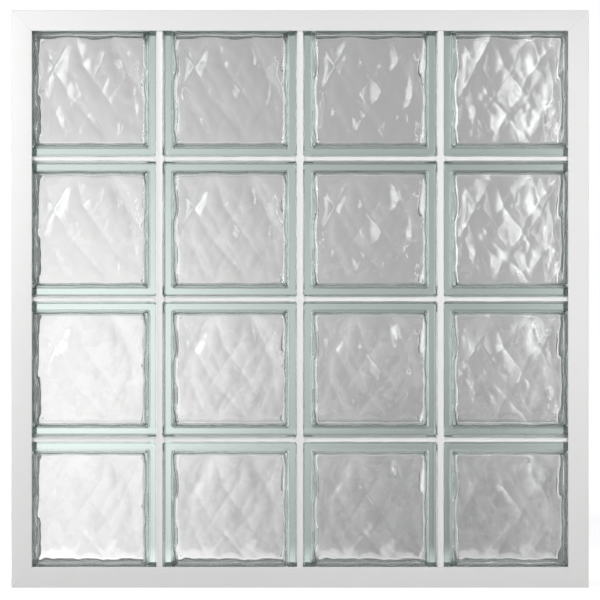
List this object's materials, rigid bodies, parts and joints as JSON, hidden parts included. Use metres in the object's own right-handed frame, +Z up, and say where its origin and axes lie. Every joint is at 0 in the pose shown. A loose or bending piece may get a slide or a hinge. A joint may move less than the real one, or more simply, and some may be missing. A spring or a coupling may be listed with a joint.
{
  "type": "glass block window panel",
  "caption": "Square fixed window panel of hollow wave-pattern glass blocks, sealed at white joints and held in a mitred white vinyl channel frame.",
  "frame": {"origin": "middle of the underside of the sill", "axes": "+X along the panel to the right seen from the front, +Y through the panel from front to rear, +Z up"},
  "size_m": [0.8, 0.086, 0.8],
  "materials": {
    "frame_vinyl": "white extruded vinyl, satin",
    "block_glass": "clear pressed glass, faint green, wave pattern on the inner faces",
    "spacer_vinyl": "clear extruded vinyl strip",
    "joint_sealant": "white silicone, tooled hollow"
  },
  "bodies": {
    "root": {"frame_head": "frame_vinyl", "frame_sill": "frame_vinyl", "frame_left_jamb": "frame_vinyl", "frame_right_jamb": "frame_vinyl", "glass_block_row1_col1": "block_glass", "glass_block_row1_col2": "block_glass", "glass_block_row1_col3": "block_glass", "glass_block_row1_col4": "block_glass", "glass_block_row2_col1": "block_glass", "glass_block_row2_col2": "block_glass", "glass_block_row2_col3": "block_glass", "glass_block_row2_col4": "block_glass", "glass_block_row3_col1": "block_glass", "glass_block_row3_col2": "block_glass", "glass_block_row3_col3": "block_glass", "glass_block_row3_col4": "block_glass", "glass_block_row4_col1": "block_glass", "glass_block_row4_col2": "block_glass", "glass_block_row4_col3": "block_glass", "glass_block_row4_col4": "block_glass", "vertical_spacer_1": "spacer_vinyl", "vertical_spacer_2": "spacer_vinyl", "vertical_spacer_3": "spacer_vinyl", "horizontal_spacer_1_col1": "spacer_vinyl", "horizontal_spacer_1_col2": "spacer_vinyl", "horizontal_spacer_1_col3": "spacer_vinyl", "horizontal_spacer_1_col4": "spacer_vinyl", "horizontal_spacer_2_col1": "spacer_vinyl", "horizontal_spacer_2_col2": "spacer_vinyl", "horizontal_spacer_2_col3": "spacer_vinyl", "horizontal_spacer_2_col4": "spacer_vinyl", "horizontal_spacer_3_col1": "spacer_vinyl", "horizontal_spacer_3_col2": "spacer_vinyl", "horizontal_spacer_3_col3": "spacer_vinyl", "horizontal_spacer_3_col4": "spacer_vinyl", "vertical_sealant_1": "joint_sealant", "vertical_sealant_2": "joint_sealant", "vertical_sealant_3": "joint_sealant", "horizontal_sealant_1": "joint_sealant", "horizontal_sealant_2": "joint_sealant", "horizontal_sealant_3": "joint_sealant"}
  },
  "joints": []
}
